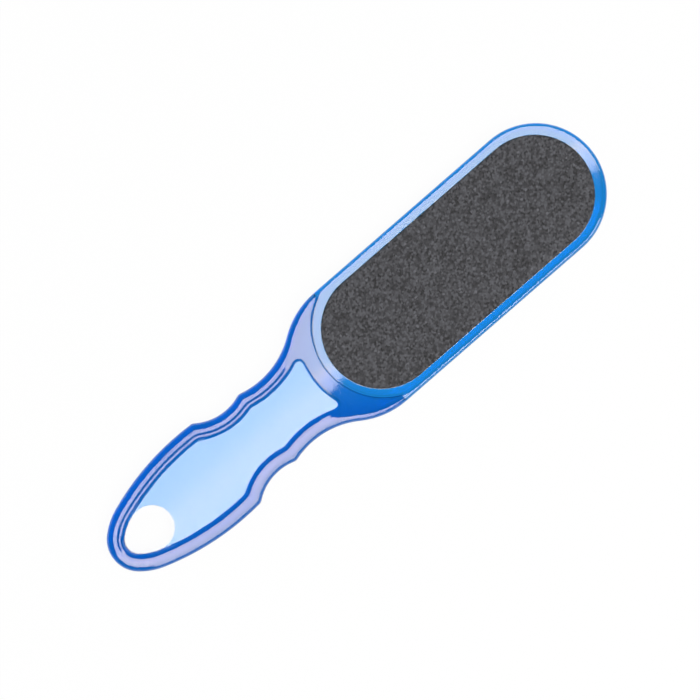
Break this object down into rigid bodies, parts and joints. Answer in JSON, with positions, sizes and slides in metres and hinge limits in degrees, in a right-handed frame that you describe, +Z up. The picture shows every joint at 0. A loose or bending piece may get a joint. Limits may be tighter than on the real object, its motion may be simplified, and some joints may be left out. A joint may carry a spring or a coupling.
{
  "type": "foot file",
  "caption": "Flat double-sided foot file: translucent blue frame with finger grooves, a recessed web, a hang hole and a sloped border round an abrasive sheet on each face.",
  "frame": {"origin": "under the middle of the file's length and width, on the surface it lies on", "axes": "+X from the butt of the handle to the tip of the head, +Z up out of the coarse face"},
  "size_m": [0.2214, 0.05, 0.0064],
  "materials": {
    "frame_plastic": "clear moulded plastic, tinted blue, polished",
    "adhesive": "thin pressure-sensitive film",
    "backing_paper": "waterproof paper, cut edge",
    "coarse_grit": "coarse silicon carbide grains in a resin coat",
    "fine_grit": "fine silicon carbide grains in a resin coat"
  },
  "bodies": {
    "root": {"handle_frame": "frame_plastic", "coarse_adhesive": "adhesive", "coarse_backing": "backing_paper", "coarse_grit": "coarse_grit", "fine_adhesive": "adhesive", "fine_backing": "backing_paper", "fine_grit": "fine_grit"}
  },
  "joints": []
}
